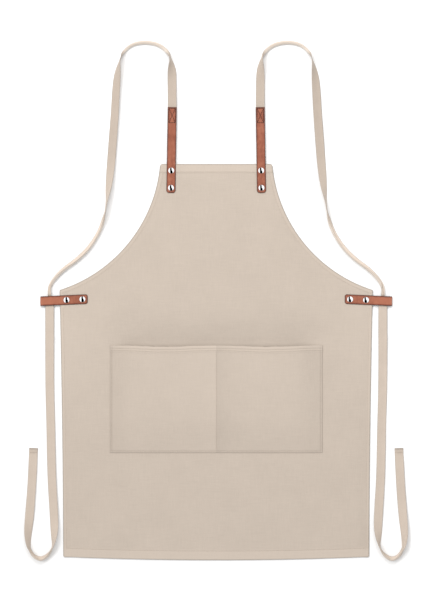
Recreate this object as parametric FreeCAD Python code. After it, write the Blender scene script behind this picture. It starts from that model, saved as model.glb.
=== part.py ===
import FreeCAD, Part
import math
import os

# A cross-back kitchen apron lying front up on a flat surface.
# Millimetres. +Z points up out of the apron's front, +Y runs from the bottom hem to the bib and +X is
# to the right when looking down on the front. Z = 0 is the surface that the apron lies on. The left and
# right halves are mirror images, so each side piece is made on the left and mirrored. Each strap is one
# tape on the real apron. It is made in two lengths, which meet inside the side loop, because the lower
# one slides through the loop.

V = FreeCAD.Vector

# ---- thicknesses and levels -----------------------------------------------------------------------
CANVAS = 1.2            # panel and pocket cloth
LEATHER = 1.8
TAPE = 1.4
THREAD_HEIGHT = 0.35
THREAD_WIDTH = 0.7
BACK_CAP_HEIGHT = 1.2   # the side rivets' back caps stand on the surface
PANEL_BOTTOM = BACK_CAP_HEIGHT + LEATHER
PANEL_TOP = PANEL_BOTTOM + CANVAS
TAB_TOP_FACE = PANEL_TOP + LEATHER
POCKET_TOP = PANEL_TOP + CANVAS

# ---- panel ------------------------------------------------------------------------------------------
BIB_HALF_WIDTH = 123.0
BIB_TOP_Y = 372.0
BIB_CORNER_R = 5.0
ARMHOLE_MID = V(-190.3, 201.2, 0)
WAIST_CORNER = V(-343.5, 95.0, 0)
SIDE_MID = V(-339.2, -120.0, 0)
HEM_CORNER = V(-335.5, -491.0, 0)
HEM_CORNER_R = 3.0
HEM_MID_Y = -497.5      # the bottom hem bows downward by this much at the middle
HEM_RIM = 10.0          # width of the turned hems, which carry the panel on the surface
RIVET_ROOM = 1.5        # clear ring in the rim round each back cap
LOOP_NOTCH_MARGIN = 4.0 # the rim stops this far above and below each side loop
BOTTOM_STITCH_INSET = 19.0
BIB_STITCH_INSET = 17.0
SIDE_STITCH_INSET = 6.0
ARMHOLE_STITCH_INSET = 7.0

# ---- pocket -----------------------------------------------------------------------------------------
POCKET_HALF_WIDTH = 233.0
POCKET_TOP_Y = -26.6
POCKET_BOTTOM_Y = -261.6
POCKET_FLANGE = 8.0     # width sewn flat at the sides, the bottom and the divider
POCKET_SLOPE = 34.0     # width over which each compartment rises from its seam
POCKET_GAPE = 7.0       # how far the mouth stands off the panel
POCKET_SHOULDER = 0.8   # share of that rise reached at the end of the first slope
POCKET_MOUTH_STITCH = (5.5, 10.5)
POCKET_EDGE_STITCH = 3.0

# ---- shoulder tabs ----------------------------------------------------------------------------------
TAB_WIDTH = 20.0
TAB_TOP = V(-96.6, 497.34, 0)
TAB_END = V(-99.6, 309.0, 0)
TAB_END_R = 6.0
TAB_RIVET_STEPS = (139.3, 177.3)   # from the tab's top, along its middle line
TAB_SEAM_INSET = 2.6
TAB_SEAM_LENGTH = 34.0

# ---- side loops -------------------------------------------------------------------------------------
LOOP_WIDTH = 21.0
LOOP_FOLD_X = 386.7     # outermost point of the fold
LOOP_INNER_X = 282.5
LOOP_END_R = 5.0
LOOP_MID_Y = 73.4
LOOP_TILT_DEG = 2.6     # the inner end sits a little higher up the panel
LOOP_GAP = 4.0          # room for the tape inside the fold
LOOP_SPREAD_X = (345.0, 357.0)
LOOP_RIVET_X = (329.0, 294.0)

# ---- rivets -----------------------------------------------------------------------------------------
CAP_R = 6.5
CAP_EDGE = 0.45
FRONT_CAP_HEIGHT = 2.0
SOCKET_OUTER_R = 2.1
SOCKET_INNER_R = 1.4
POST_R = 1.35
RIVET_PLAY = 0.05
SOCKET_END_GAP = 0.2    # the socket stops short of the back cap
CROWN_GAP = 0.4         # hollow under the front cap's crown
POST_REACH = 0.2        # the post ends this far above the leather, inside the cap

# ---- strap tape -------------------------------------------------------------------------------------
TAPE_WIDTH = 19.0
TAPE_LIFT = 0.15        # keeps the twisting edge off the surface
# The strap's route, from the tab over the shoulder to the side loop: place in plan, then how far the
# tape is tipped up on its outer edge in degrees, then how far it is held above the surface.
SHOULDER_ROUTE = (
    (-97.0, 464.0, 0, 2.8),
    (-96.6, 500.0, 0, 2.8),
    (-97.0, 540.0, 0, 0.6),
    (-97.6, 576.0, 16, 0.0),
    (-99.5, 611.0, 84, 0.0),
    (-121.0, 634.0, 74, 0.0),
    (-154.0, 641.5, 64, 0.0),
    (-188.0, 636.0, 74, 0.0),
    (-210.0, 611.0, 86, 0.0),
    (-216.6, 573.0, 40, 0.0),
    (-220.0, 531.0, 20, 0.0),
    (-222.6, 480.0, 14, 0.0),
    (-227.0, 424.0, 14, 0.0),
    (-231.0, 372.0, 10, 0.0),
    (-235.4, 326.0, 38, 0.0),
    (-242.0, 279.0, 84, 0.0),
    (-248.5, 236.0, 68, 0.0),
    (-273.0, 192.0, 62, 0.0),
    (-303.0, 162.0, 62, 0.0),
    (-336.0, 139.5, 68, 0.0),
    (-358.0, 116.5, 80, 0.0),
    (-366.5, 98.5, 34, 1.2),
    (-366.2, 85.0, 0, 3.1),
    (-366.2, 71.5, 0, 3.1),
)
TIE_ROUTE = (
    (-366.2, 71.5, 0, 3.1),
    (-366.2, 50.0, 0, 3.1),
    (-366.0, 12.0, 0, 3.0),
    (-366.4, -44.0, 0, 0.6),
    (-366.2, -100.0, 0, 0.0),
    (-365.2, -156.0, 2, 0.0),
    (-363.6, -212.0, 0, 0.0),
    (-362.6, -270.0, 2, 0.0),
    (-361.2, -326.0, 0, 0.0),
    (-357.2, -384.0, 4, 0.0),
    (-354.6, -436.0, 20, 0.0),
    (-359.5, -478.0, 84, 0.0),
    (-384.0, -501.0, 70, 0.0),
    (-408.0, -485.5, 84, 0.0),
    (-415.0, -449.0, 46, 0.0),
    (-410.6, -400.0, 8, 0.0),
    (-406.6, -350.0, 0, 0.0),
    (-403.6, -301.5, 0, 0.0),
    (-401.8, -254.0, 0, 0.0),
)
ARC_STEPS = 3
TIE_END_STITCH = 10.0   # from the hemmed end


def write(node, shapes):
    """Writes a node's solids as one STEP file."""
    solids = [solid for shape in shapes for solid in shape.Solids]
    Part.makeCompound(solids).exportStep("parts/" + node + ".step")


def mirrored(shape):
    return shape.mirror(V(0, 0, 0), V(1, 0, 0))


def write_pair(name, shapes):
    """Writes a left piece and its mirror image on the right."""
    write("left_" + name, shapes)
    write("right_" + name, [mirrored(shape) for shape in shapes])


def flipped(point):
    return V(-point.x, point.y, point.z)


def at_height(wire, z):
    copy = wire.copy()
    copy.translate(V(0, 0, z))
    return copy


def plate(wire, bottom, thickness):
    return Part.Face(at_height(wire, bottom)).extrude(V(0, 0, thickness))


def pillar(x, y, radius, bottom, top):
    return Part.makeCylinder(radius, top - bottom, V(x, y, bottom))


# ---- rivet places -----------------------------------------------------------------------------------
def along_tab(distance, side=0.0):
    """A point on the shoulder tab, measured down its middle line and across it."""
    direction = (TAB_END - TAB_TOP).normalize()
    across = V(-direction.y, direction.x, 0)
    return TAB_TOP + direction * distance + across * side


def along_loop(x, side=0.0):
    """A point on the tilted side loop, by its distance from the apron's middle line."""
    tilt = math.radians(LOOP_TILT_DEG)
    reach = (LOOP_FOLD_X + LOOP_INNER_X) / 2 - x
    return V(-x - side * math.sin(tilt), LOOP_MID_Y + reach * math.tan(tilt) + side * math.cos(tilt), 0)


TAB_RIVETS = [along_tab(step) for step in TAB_RIVET_STEPS]
LOOP_RIVETS = [along_loop(x) for x in LOOP_RIVET_X]
HOLE_R = SOCKET_OUTER_R + RIVET_PLAY


def drilled(shape, points):
    for point in points:
        shape = shape.cut(pillar(point.x, point.y, HOLE_R, 0, TAB_TOP_FACE + LOOP_GAP))
    return shape


# ---- panel ------------------------------------------------------------------------------------------
def panel_outline():
    bib_side = V(-BIB_HALF_WIDTH, BIB_TOP_Y - BIB_CORNER_R, 0)
    bib_top = V(-BIB_HALF_WIDTH + BIB_CORNER_R, BIB_TOP_Y, 0)
    bend = BIB_CORNER_R * (1 - math.sqrt(0.5))
    bib_bend = V(-BIB_HALF_WIDTH + bend, BIB_TOP_Y - bend, 0)
    side_end = HEM_CORNER + V(0, HEM_CORNER_R, 0)
    hem_start = HEM_CORNER + V(HEM_CORNER_R, 0, 0)
    corner_bend = HEM_CORNER + V(HEM_CORNER_R, HEM_CORNER_R, 0) * (1 - math.sqrt(0.5))
    left = [
        Part.Arc(bib_top, bib_bend, bib_side).toShape(),
        Part.Arc(bib_side, ARMHOLE_MID, WAIST_CORNER).toShape(),
        Part.Arc(WAIST_CORNER, SIDE_MID, side_end).toShape(),
        Part.Arc(side_end, corner_bend, hem_start).toShape(),
    ]
    right = [mirrored(edge) for edge in left]
    bib_edge = Part.LineSegment(bib_top, flipped(bib_top)).toShape()
    hem_edge = Part.Arc(hem_start, V(0, HEM_MID_Y, 0), flipped(hem_start)).toShape()
    return Part.Wire(Part.__sortEdges__([bib_edge, hem_edge] + left + right))


def apron_panel(outline):
    cloth = plate(outline, PANEL_BOTTOM, CANVAS)
    rim = plate(outline, 0, PANEL_BOTTOM).cut(plate(outline.makeOffset2D(-HEM_RIM), 0, PANEL_BOTTOM))
    room = CAP_R + RIVET_ROOM
    for point in TAB_RIVETS:
        for centre in (point, flipped(point)):
            rim = rim.cut(pillar(centre.x, centre.y, room, 0, PANEL_BOTTOM))
    notch_length = LOOP_FOLD_X - LOOP_INNER_X
    notch = Part.makeBox(notch_length, LOOP_WIDTH + 2 * LOOP_NOTCH_MARGIN, PANEL_BOTTOM)
    notch.translate(V(-LOOP_FOLD_X, LOOP_MID_Y - LOOP_WIDTH / 2 - LOOP_NOTCH_MARGIN, 0))
    rim = rim.cut(notch).cut(mirrored(notch))
    points = TAB_RIVETS + LOOP_RIVETS
    return drilled(cloth.fuse(rim).removeSplitter(), points + [flipped(point) for point in points])


# ---- pocket -----------------------------------------------------------------------------------------
def pocket_profile(y, rise, lift, thickness):
    """A closed outline across the pocket at height y: flat at the seams, raised between them."""
    half = POCKET_HALF_WIDTH
    seam = POCKET_FLANGE
    slope = POCKET_SLOPE
    line = [
        (-half, 0),
        (-half + seam, 0),
        (-half + seam + slope, POCKET_SHOULDER * rise),
        (-half + seam + 2 * slope, rise),
        (-seam / 2 - 2 * slope, rise),
        (-seam / 2 - slope, POCKET_SHOULDER * rise),
        (-seam / 2, 0),
    ]
    line = line + [(-x, z) for x, z in reversed(line)]
    low = [V(x, y, PANEL_TOP + lift + z) for x, z in line]
    high = [V(x, y, PANEL_TOP + lift + z + thickness) for x, z in reversed(line)]
    return Part.makePolygon(low + high + [low[0]])


def pocket_band(y_low, y_high, lift, thickness):
    """A strip of the pocket, or of thread lying on it, between two heights."""
    start = POCKET_BOTTOM_Y + POCKET_FLANGE
    rises = []
    for y in (y_low, y_high):
        rises.append(max(0.0, POCKET_GAPE * (y - start) / (POCKET_TOP_Y - start)))
    wires = [
        pocket_profile(y_low, rises[0], lift, thickness),
        pocket_profile(y_high, rises[1], lift, thickness),
    ]
    return Part.makeLoft(wires, True, True)


def pocket_patch():
    seam = Part.makeBox(2 * POCKET_HALF_WIDTH, POCKET_FLANGE, CANVAS)
    seam.translate(V(-POCKET_HALF_WIDTH, POCKET_BOTTOM_Y, PANEL_TOP))
    raised = pocket_band(POCKET_BOTTOM_Y + POCKET_FLANGE, POCKET_TOP_Y, 0, CANVAS)
    return seam.fuse(raised)


# ---- leather ----------------------------------------------------------------------------------------
def shoulder_tab():
    width = TAB_WIDTH / 2
    length = (TAB_END - TAB_TOP).Length
    bend = TAB_END_R * (1 - math.sqrt(0.5))
    corners = [along_tab(0, -width), along_tab(0, width)]
    right_side = [along_tab(length - TAB_END_R, width), along_tab(length - bend, width - bend),
                  along_tab(length, width - TAB_END_R)]
    left_side = [along_tab(length, -width + TAB_END_R), along_tab(length - bend, -width + bend),
                 along_tab(length - TAB_END_R, -width)]
    edges = [
        Part.LineSegment(corners[0], corners[1]).toShape(),
        Part.LineSegment(corners[1], right_side[0]).toShape(),
        Part.Arc(*right_side).toShape(),
        Part.LineSegment(right_side[2], left_side[0]).toShape(),
        Part.Arc(*left_side).toShape(),
        Part.LineSegment(left_side[2], corners[0]).toShape(),
    ]
    return drilled(plate(Part.Wire(edges), PANEL_TOP, LEATHER), TAB_RIVETS)


def side_loop():
    """A strip folded round the tape, its two layers gripping the panel's side hem."""
    near, far = LOOP_SPREAD_X
    inner_r = LOOP_GAP / 2
    outer_r = inner_r + LEATHER
    bow_x = LOOP_FOLD_X - outer_r
    bow_z = outer_r
    start_y = -LOOP_WIDTH / 2

    def line(points):
        return Part.makePolygon([V(-x, start_y, z) for x, z in points]).Edges

    def bow(radius):
        return Part.Arc(V(-bow_x, start_y, bow_z + radius), V(-bow_x - radius, start_y, bow_z),
                        V(-bow_x, start_y, bow_z - radius)).toShape()

    def layer_face(level, bowed_level):
        return line([(LOOP_INNER_X, level), (near, level), (far, bowed_level), (bow_x, bowed_level)])

    edges = layer_face(TAB_TOP_FACE, bow_z + outer_r) + layer_face(PANEL_TOP, bow_z + inner_r)
    edges = edges + layer_face(PANEL_BOTTOM, bow_z - inner_r)
    edges = edges + layer_face(BACK_CAP_HEIGHT, bow_z - outer_r)
    edges = edges + [bow(outer_r), bow(inner_r)]
    edges = edges + line([(LOOP_INNER_X, PANEL_TOP), (LOOP_INNER_X, TAB_TOP_FACE)])
    edges = edges + line([(LOOP_INNER_X, BACK_CAP_HEIGHT), (LOOP_INNER_X, PANEL_BOTTOM)])
    strip = Part.Face(Part.Wire(Part.__sortEdges__(edges))).extrude(V(0, LOOP_WIDTH, 0))
    strip = strip.makeFillet(LOOP_END_R, [edge for edge in strip.Edges if is_loop_corner(edge)])
    middle_x = -(LOOP_FOLD_X + LOOP_INNER_X) / 2
    strip.rotate(V(middle_x, 0, 0), V(0, 0, 1), LOOP_TILT_DEG)
    strip.translate(V(0, LOOP_MID_Y, 0))
    return drilled(strip, LOOP_RIVETS)


def is_loop_corner(edge):
    """True for the short upright edges at the inner ends of the loop's two layers."""
    box = edge.BoundBox
    upright = box.XLength < 0.01 and box.YLength < 0.01
    return upright and abs(box.XMin + LOOP_INNER_X) < 0.01


# ---- rivets -----------------------------------------------------------------------------------------
def turned(profile, point):
    """A solid of revolution about the upright line through a point, from (radius, z) edges."""
    shape = Part.Face(Part.Wire(Part.__sortEdges__(profile))).revolve(V(0, 0, 0), V(0, 0, 1), 360)
    shape.translate(V(point.x, point.y, 0))
    return shape


def segments(points):
    pairs = zip(points[:-1], points[1:])
    return [Part.LineSegment(V(a[0], 0, a[1]), V(b[0], 0, b[1])).toShape() for a, b in pairs]


def dome(base, height, outward):
    """The spherical top of a cap, from its axis to its rim."""
    sagitta = height - CAP_EDGE
    sphere_r = (CAP_R ** 2 + sagitta ** 2) / (2 * sagitta)
    half_way = math.asin(CAP_R / sphere_r) / 2
    drop = sphere_r * (1 - math.cos(half_way))
    crown = V(0, 0, base + outward * height)
    middle = V(sphere_r * math.sin(half_way), 0, base + outward * (height - drop))
    rim = V(CAP_R, 0, base + outward * CAP_EDGE)
    return Part.Arc(crown, middle, rim).toShape()


def front_cap(point, stack_bottom):
    """A domed cap with the hollow socket that reaches down through the leather and the cloth."""
    base = TAB_TOP_FACE
    low = stack_bottom + SOCKET_END_GAP
    walls = segments([
        (CAP_R, base + CAP_EDGE), (CAP_R, base), (SOCKET_OUTER_R, base), (SOCKET_OUTER_R, low),
        (SOCKET_INNER_R, low), (SOCKET_INNER_R, base + CROWN_GAP), (0, base + CROWN_GAP), (0, base + FRONT_CAP_HEIGHT),
    ])
    return turned([dome(base, FRONT_CAP_HEIGHT, 1)] + walls, point)


def back_cap(point, stack_bottom):
    """A flatter cap with the post that is pressed up into the socket."""
    walls = segments([
        (CAP_R, stack_bottom - CAP_EDGE), (CAP_R, stack_bottom), (POST_R, stack_bottom),
        (POST_R, TAB_TOP_FACE + POST_REACH), (0, TAB_TOP_FACE + POST_REACH), (0, stack_bottom - BACK_CAP_HEIGHT),
    ])
    return turned([dome(stack_bottom, BACK_CAP_HEIGHT, -1)] + walls, point)


# ---- strap tape -------------------------------------------------------------------------------------
def plan_stations(route):
    """Places along the route's straight runs and tangent arcs, with the run position of each."""
    points = [V(x, y, 0) for x, y, tip, lift in route]
    stations = [(points[0], (points[1] - points[0]).normalize(), 0.0)]
    for i in range(1, len(points) - 1):
        before = points[i] - points[i - 1]
        after = points[i + 1] - points[i]
        turn = before.getAngle(after)
        reach = 0.45 * min(before.Length, after.Length)
        start = before.normalize()
        end = after.normalize()
        side = 1 if start.cross(end).z > 0 else -1
        radius = reach / math.tan(turn / 2)
        centre = points[i] - start * reach + V(-start.y, start.x, 0) * side * radius
        steps = ARC_STEPS if turn > 0.05 else 1
        for k in range(steps + 1):
            angle = side * turn * k / steps
            spoke = V(start.y, -start.x, 0) * side * radius
            place = centre + rotated(spoke, angle)
            fraction = (k / steps - 0.5) * 0.9
            stations.append((place, rotated(start, angle), i + fraction))
    stations.append((points[-1], (points[-1] - points[-2]).normalize(), len(points) - 1.0))
    return stations


def rotated(vector, angle):
    return V(vector.x * math.cos(angle) - vector.y * math.sin(angle),
             vector.x * math.sin(angle) + vector.y * math.cos(angle), 0)


def between(route, position, column):
    """A route column read at a place between two points, eased in and out."""
    low = min(int(position), len(route) - 2)
    part = position - low
    ease = part * part * (3 - 2 * part)
    return route[low][column] * (1 - ease) + route[low + 1][column] * ease


def tape_section(place, heading, tip_deg, lift):
    """The tape's rectangular section, tipped up on its outer edge, which stays on the surface."""
    tip = math.radians(tip_deg)
    across = V(-heading.y, heading.x, 0) * math.cos(tip) + V(0, 0, math.sin(tip))
    through = V(heading.y, -heading.x, 0) * math.sin(tip) + V(0, 0, math.cos(tip))
    half = across * (TAPE_WIDTH / 2)
    thick = through * (TAPE / 2)
    rest = TAPE_WIDTH / 2 * math.sin(tip) + TAPE / 2 * math.cos(tip)
    centre = place + V(0, 0, rest + TAPE_LIFT * math.sin(tip) + lift)
    corners = [centre - half - thick, centre + half - thick, centre + half + thick, centre - half + thick]
    return Part.makePolygon(corners + [corners[0]])


def tape(route):
    wires = []
    for place, heading, position in plan_stations(route):
        wires.append(tape_section(place, heading, between(route, position, 2), between(route, position, 3)))
    return Part.makeLoft(wires, True, True)


# ---- thread -----------------------------------------------------------------------------------------
def bar(start, end, base):
    """A straight line of thread lying on a surface at the given height."""
    side = rotated(end - start, math.pi / 2).normalize() * (THREAD_WIDTH / 2)
    corners = [start - side, end - side, end + side, start + side]
    return plate(Part.makePolygon(corners + [corners[0]]), base, THREAD_HEIGHT)


def thread_arc(points, inset):
    """A line of thread on the panel beside an arc through three points, away from its centre."""
    centre = Part.Arc(*points).toShape().Curve.Center
    rows = []
    for distance in (inset, inset + THREAD_WIDTH):
        rows.append([point + (point - centre).normalize() * distance for point in points])
    edges = [Part.Arc(*row).toShape() for row in rows]
    edges = edges + [Part.LineSegment(rows[0][k], rows[1][k]).toShape() for k in (0, 2)]
    return plate(Part.Wire(Part.__sortEdges__(edges)), PANEL_TOP, THREAD_HEIGHT)


def fused(shapes):
    whole = shapes[0]
    for shape in shapes[1:]:
        whole = whole.fuse(shape)
    return whole.removeSplitter()


def bib_stitching():
    """The bib's hem seam, which the shoulder tabs cover where they cross it."""
    y = BIB_TOP_Y - BIB_STITCH_INSET
    tab_x = -along_tab(TAB_TOP.y - y).x
    tab_edge = TAB_WIDTH / 2 + 0.5
    middle = bar(V(tab_edge - tab_x, y, 0), V(tab_x - tab_edge, y, 0), PANEL_TOP)
    end = bar(V(-BIB_HALF_WIDTH + 1, y, 0), V(-tab_x - tab_edge, y, 0), PANEL_TOP)
    return [middle, end, mirrored(end)]


def bottom_stitching():
    left = HEM_CORNER + V(4, 0, 0)
    return thread_arc([left, V(0, HEM_MID_Y, 0), flipped(left)], -BOTTOM_STITCH_INSET)


def side_stitching():
    """The side hem's seam, from below the side loop to the bottom hem's seam."""
    low_y = HEM_CORNER.y + BOTTOM_STITCH_INSET + 1
    top_y = LOOP_MID_Y - LOOP_WIDTH / 2 - 6
    stretch = Part.makeBox(50, top_y - low_y, 2 * PANEL_TOP, V(WAIST_CORNER.x, low_y, 0))
    return thread_arc([WAIST_CORNER, SIDE_MID, HEM_CORNER], SIDE_STITCH_INSET).common(stretch)


def armhole_stitching():
    top = V(-BIB_HALF_WIDTH, BIB_TOP_Y - BIB_STITCH_INSET - 2, 0)
    return thread_arc([top, ARMHOLE_MID, WAIST_CORNER], ARMHOLE_STITCH_INSET)


def tab_stitching():
    """The box with a cross in it that holds the strap behind the tab's top end."""
    near = TAB_SEAM_INSET
    far = TAB_SEAM_LENGTH
    side = TAB_WIDTH / 2 - TAB_SEAM_INSET
    corners = [along_tab(near, -side), along_tab(near, side), along_tab(far, side), along_tab(far, -side)]
    pairs = [(0, 1), (1, 2), (2, 3), (3, 0), (0, 2), (1, 3)]
    return fused([bar(corners[a], corners[b], TAB_TOP_FACE) for a, b in pairs])


def pocket_seam():
    """The edge seam round the pocket's sides and bottom."""
    side = POCKET_HALF_WIDTH - POCKET_EDGE_STITCH
    top = POCKET_TOP_Y - POCKET_MOUTH_STITCH[1] - 2
    low = POCKET_BOTTOM_Y + POCKET_EDGE_STITCH
    corners = [V(-side, top, 0), V(-side, low, 0), V(side, low, 0), V(side, top, 0)]
    return fused([bar(corners[k], corners[k + 1], POCKET_TOP) for k in range(3)])


def pocket_divider():
    low = POCKET_BOTTOM_Y + POCKET_EDGE_STITCH + 2
    return bar(V(0, POCKET_TOP_Y - POCKET_MOUTH_STITCH[1] - 2, 0), V(0, low, 0), POCKET_TOP)


def pocket_mouth():
    """The two rows that hold the turned mouth hem, riding over both raised compartments."""
    rows = []
    for inset in POCKET_MOUTH_STITCH:
        y = POCKET_TOP_Y - inset
        rows.append(pocket_band(y - THREAD_WIDTH, y, CANVAS, THREAD_HEIGHT))
    return rows


def tie_end_stitching():
    end = TIE_ROUTE[-1]
    y = end[1] - TIE_END_STITCH
    side = TAPE_WIDTH / 2 - 1.5
    return bar(V(end[0] - side, y, 0), V(end[0] + side, y, 0), TAPE)


def main():
    os.makedirs("parts", exist_ok=True)
    write("apron_panel", [apron_panel(panel_outline())])
    write("pocket_patch", [pocket_patch()])
    write_pair("shoulder_tab", [shoulder_tab()])
    write_pair("side_loop", [side_loop()])
    write_pair("shoulder_rivet_caps", [front_cap(point, PANEL_BOTTOM) for point in TAB_RIVETS])
    write_pair("shoulder_rivet_posts", [back_cap(point, PANEL_BOTTOM) for point in TAB_RIVETS])
    write_pair("side_rivet_caps", [front_cap(point, BACK_CAP_HEIGHT) for point in LOOP_RIVETS])
    write_pair("side_rivet_posts", [back_cap(point, BACK_CAP_HEIGHT) for point in LOOP_RIVETS])
    write_pair("shoulder_strap", [tape(SHOULDER_ROUTE)])
    write_pair("tie", [tape(TIE_ROUTE)])
    write("bib_stitching", bib_stitching())
    write("bottom_stitching", [bottom_stitching()])
    write("side_stitching", [side_stitching(), mirrored(side_stitching())])
    write("armhole_stitching", [armhole_stitching(), mirrored(armhole_stitching())])
    write("pocket_seam_stitching", [pocket_seam()])
    write("pocket_divider_stitching", [pocket_divider()])
    write("pocket_mouth_stitching", pocket_mouth())
    write_pair("tab_stitching", [tab_stitching()])
    write_pair("tie_end_stitching", [tie_end_stitching()])


main()
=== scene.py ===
import math

import bpy
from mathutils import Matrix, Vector, noise


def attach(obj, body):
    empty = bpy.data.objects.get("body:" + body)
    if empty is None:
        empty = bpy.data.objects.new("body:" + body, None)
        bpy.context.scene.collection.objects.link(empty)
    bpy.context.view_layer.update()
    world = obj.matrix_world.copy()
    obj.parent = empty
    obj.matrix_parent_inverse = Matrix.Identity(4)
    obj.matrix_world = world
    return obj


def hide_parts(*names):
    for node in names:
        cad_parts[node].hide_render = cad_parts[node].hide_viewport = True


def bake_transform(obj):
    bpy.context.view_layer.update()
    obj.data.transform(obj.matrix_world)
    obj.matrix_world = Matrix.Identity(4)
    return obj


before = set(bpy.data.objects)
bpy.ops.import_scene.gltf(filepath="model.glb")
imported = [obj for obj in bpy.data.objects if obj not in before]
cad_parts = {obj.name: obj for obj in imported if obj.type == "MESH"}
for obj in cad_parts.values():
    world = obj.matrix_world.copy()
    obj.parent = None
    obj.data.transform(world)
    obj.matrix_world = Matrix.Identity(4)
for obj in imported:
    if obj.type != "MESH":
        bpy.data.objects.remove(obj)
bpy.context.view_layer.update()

# A canvas cross-back apron laid flat, front up, on a pale floor. Lengths below are millimetres in the
# CAD frame unless a name says otherwise, and MM turns them into Blender's metres.
MM = 0.001

PANEL_TOP = 4.2
CLOTH = 0.9
LEATHER_TOP = 6
HIDE_THICK = 1.8
POCKET_CLOTH_TOP = 5.4
TAPE_WIDTH = 19
TAPE_THICK = 1.3
TAPE_LIFT = 0.15

BIB_HALF = 123
BIB_TOP_Y = 372
BIB_CORNER_R = 5
ARMHOLE_MID = (190.3, 201.2)
WAIST_CORNER = (343.5, 95)
SIDE_MID = (339.2, -120)
HEM_CORNER = (335.5, -491)
HEM_CORNER_R = 3
HEM_MID_Y = -497.5
BIB_HEM = 18.5
BOTTOM_HEM = 21
SIDE_HEM = 8
BIB_STITCH = 17
BOTTOM_STITCH = 19.3
SIDE_STITCH = 6.3
ARMHOLE_STITCH = 7.3

POCKET_HALF = 233
POCKET_TOP_Y = -26.6
POCKET_LOW_Y = -261.6
POCKET_GAPE = 7
POCKET_STITCH = 3
MOUTH_STITCH = (5.5, 10.5)

TAB_WIDTH = 20
TAB_TOP = (-96.6, 497.34)
TAB_END = (-99.6, 309)
TAB_END_R = 6
TAB_RIVET_STEPS = (139.3, 177.3)
LOOP_WIDTH = 21
LOOP_FOLD_X = 386.7
LOOP_INNER_X = 282.5
LOOP_END_R = 5
LOOP_MID_Y = 73.4
LOOP_TILT = math.radians(2.6)
LOOP_RIVET_X = (329, 294)
CAP_R = 6.5
CAP_HEIGHT = 2

# The tape's route from the tab over the shoulder to the side loop, and on from the loop to its hemmed
# end: place in plan, tip onto its outer edge in degrees, and lift above the surface.
SHOULDER_ROUTE = (
    (-97, 464, 0, 2.8), (-96.6, 500, 0, 2.8), (-97, 540, 0, 0.6), (-97.6, 576, 16, 0),
    (-99.5, 610, 97, 0), (-121, 632, 66, 0), (-154, 640, 62, 0), (-188, 634, 62, 0),
    (-210, 610, 100, 0), (-216.6, 573, 40, 0), (-220, 531, 20, 0), (-222.6, 480, 14, 0),
    (-227, 424, 14, 0), (-231, 372, 10, 0), (-235.4, 326, 38, 0), (-242, 279, 90, 0),
    (-248.5, 236, 64, 0), (-273, 192, 54, 0), (-303, 162, 54, 0), (-336, 139.5, 62, 0),
    (-358, 116.5, 80, 0), (-366.5, 98.5, 34, 1.2), (-366.2, 85, 0, 3.1), (-366.2, 71.5, 0, 3.1),
)
TIE_ROUTE = (
    (-366.2, 71.5, 0, 3.1), (-366.2, 50, 0, 3.1), (-366, 12, 0, 3), (-366.4, -44, 0, 0.6),
    (-366.2, -100, 0, 0), (-365.2, -156, 2, 0), (-363.6, -212, 0, 0), (-362.6, -270, 2, 0),
    (-361.2, -326, 0, 0), (-357.2, -384, 4, 0), (-354.6, -436, 20, 0), (-359.5, -478, 101, 0),
    (-384, -501, 54, 0), (-408, -485.5, 99, 0), (-415, -449, 46, 0), (-410.6, -400, 8, 0),
    (-406.6, -350, 0, 0), (-403.6, -301.5, 0, 0), (-401.8, -252, 0, 0),
)
ROUTE_STEPS = 14
TIE_END_STITCH = 10.0
TIE_HEM_TOP = 1.84
THREAD_R = 0.34
STITCH_LENGTH = 2.7
STITCH_GAP = 0.55
STITCH_SINK = 0.35
FLOOR_GAP = 0.15


# ---- small helpers ----
def smooth(low, high, value):
    """0 below low, 1 above high, and eased between."""
    t = min(1.0, max(0.0, (value - low) / (high - low)))
    return t * t * (3 - 2 * t)


def bell(value, width):
    return math.exp(-((value / width) ** 2))


def fbm(x, y, size, seed):
    """Smooth noise from about -1 to 1, with features of the given size."""
    return noise.fractal(Vector((x / size, y / size, seed)), 1.0, 2.0, 3)


def linear(*rgb):
    """An sRGB colour, 0 to 255, as the linear colour that a shader takes."""
    out = []
    for c in rgb:
        c = c / 255
        out.append(c / 12.92 if c <= 0.04045 else ((c + 0.055) / 1.055) ** 2.4)
    return (*out, 1.0)


def add_object(name, data):
    obj = bpy.data.objects.new(name, data)
    bpy.context.scene.collection.objects.link(obj)
    return obj


def mesh_object(name, points, faces, material):
    mesh = bpy.data.meshes.new(name)
    mesh.from_pydata([(x * MM, y * MM, z * MM) for x, y, z in points], [], faces)
    mesh.validate()
    mesh.update()
    mesh.materials.append(material)
    mesh.polygons.foreach_set("use_smooth", [True] * len(mesh.polygons))
    return add_object(name, mesh)


def grid_faces(rows, columns, first=0, closed=False):
    """Quads over a grid of points stored row by row. closed joins each row's last point to its first."""
    faces = []
    for r in range(rows - 1):
        for c in range(columns if closed else columns - 1):
            d = (c + 1) % columns
            a = first + r * columns
            b = a + columns
            faces.append((a + c, a + d, b + d, b + c))
    return faces


def border(rows, columns):
    """The (row, column) places round the edge of a grid, in order."""
    places = [(0, c) for c in range(columns)] + [(r, columns - 1) for r in range(1, rows)]
    places += [(rows - 1, c) for c in range(columns - 2, -1, -1)]
    return places + [(r, 0) for r in range(rows - 2, 0, -1)]


def set_attribute(obj, name, values):
    layer = obj.data.attributes.new(name, "FLOAT", "POINT")
    layer.data.foreach_set("value", values)


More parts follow.
